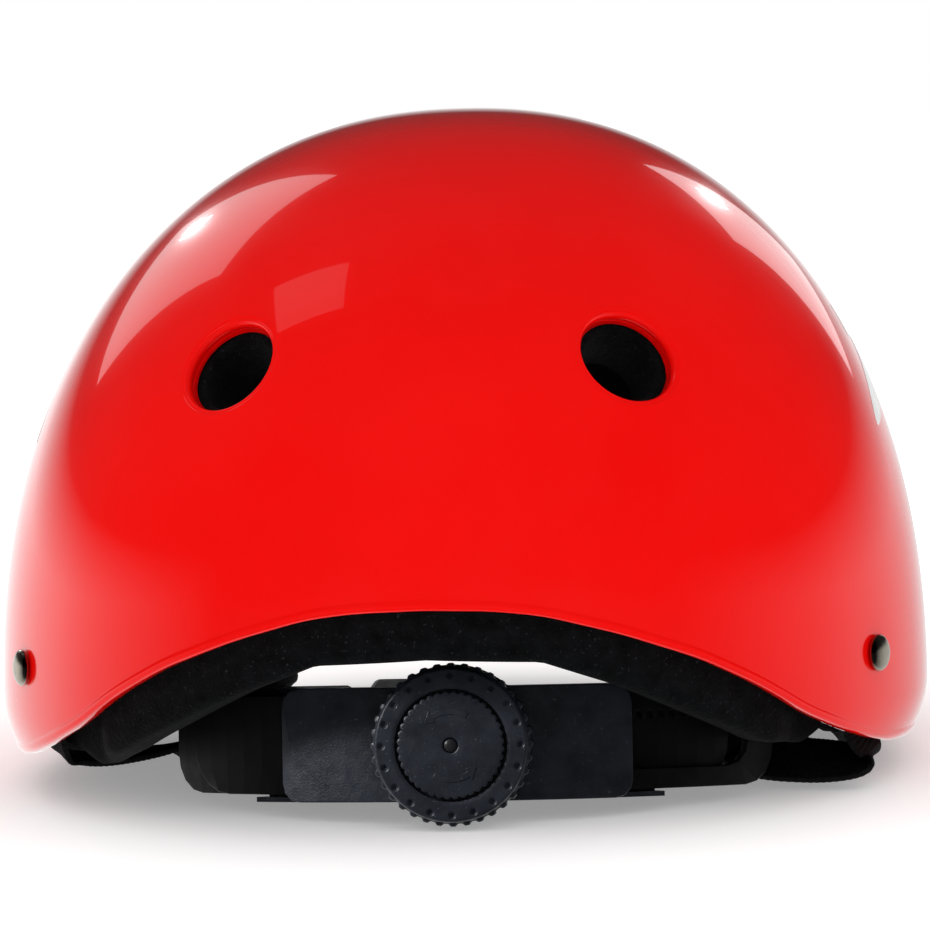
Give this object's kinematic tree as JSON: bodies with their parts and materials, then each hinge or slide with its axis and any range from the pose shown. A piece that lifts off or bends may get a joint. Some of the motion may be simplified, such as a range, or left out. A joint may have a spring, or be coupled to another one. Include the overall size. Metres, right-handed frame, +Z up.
{
  "type": "water helmet",
  "caption": "Water sports helmet: glossy hard shell with round vents over a foam liner, riveted chin harness with side-release buckle, and a rear dial that draws a geared head band.",
  "frame": {"origin": "centre of the bounding box at the resting level, under the head cavity", "axes": "+Z up, +Y to the front of the helmet, +X to the wearer's right"},
  "size_m": [0.2144, 0.2536, 0.1516],
  "materials": {
    "shell": "high gloss red",
    "liner": "matt fuzzy foam",
    "pad": "brushed fleece",
    "rivet": "plated, satin",
    "steel": "plain",
    "webbing": "ribbed weave",
    "hardware": "satin",
    "adjuster": "fine texture",
    "arm": "satin"
  },
  "bodies": {
    "helmet": {"outer_shell": "shell", "foam_liner": "liner", "crown_pad": "pad", "brow_pad": "pad", "nape_pad": "pad", "rivet_rear_left": "rivet", "rivet_rear_right": "rivet", "rivet_front_left": "rivet", "rivet_front_right": "rivet", "washer_rear_left": "steel", "washer_rear_right": "steel", "washer_front_left": "steel", "washer_front_right": "steel", "strap_rear_left": "webbing", "strap_rear_right": "webbing", "strap_front_left": "webbing", "strap_front_right": "webbing", "chin_strap_left": "webbing", "divider_left": "hardware", "divider_right": "hardware", "buckle_socket": "hardware", "cradle_back": "adjuster", "cradle_cover": "adjuster", "dial_seat": "adjuster", "detent_ring": "adjuster", "anchor_left": "adjuster", "anchor_right": "adjuster"},
    "dial": {"dial_knob": "adjuster", "dial_cap": "adjuster", "dial_screw": "steel", "pinion": "adjuster"},
    "arm_left": {"arm_left": "arm"},
    "arm_right": {"arm_right": "arm"},
    "buckle_plug": {"buckle_plug": "hardware", "chin_strap_right": "webbing"}
  },
  "joints": [
    {"name": "dial_turn", "type": "hinge", "parent": "helmet", "child": "dial", "pos_m": [0.004, -0.10683, 0.01753], "axis": [0, -0.9925, 0.1219], "range_deg": [-66, 66]},
    {"name": "arm_right_draw", "type": "hinge", "parent": "helmet", "child": "arm_right", "pos_m": [0.004, -0.017, 0.0065], "axis": [0, 0.1219, 0.9925], "range_deg": [-4, 4]},
    {"name": "arm_left_draw", "type": "hinge", "parent": "helmet", "child": "arm_left", "pos_m": [0.004, -0.017, 0.0065], "axis": [0, 0.1219, 0.9925], "range_deg": [-4, 4]},
    {"name": "buckle_release", "type": "slide", "parent": "helmet", "child": "buckle_plug", "axis": [1, 0, 0], "range_m": [0, 0.017]}
  ],
  "couplings": [
    {"joint": "arm_right_draw", "follows": "dial_turn", "ratio": -0.0601},
    {"joint": "arm_left_draw", "follows": "dial_turn", "ratio": 0.0601}
  ]
}
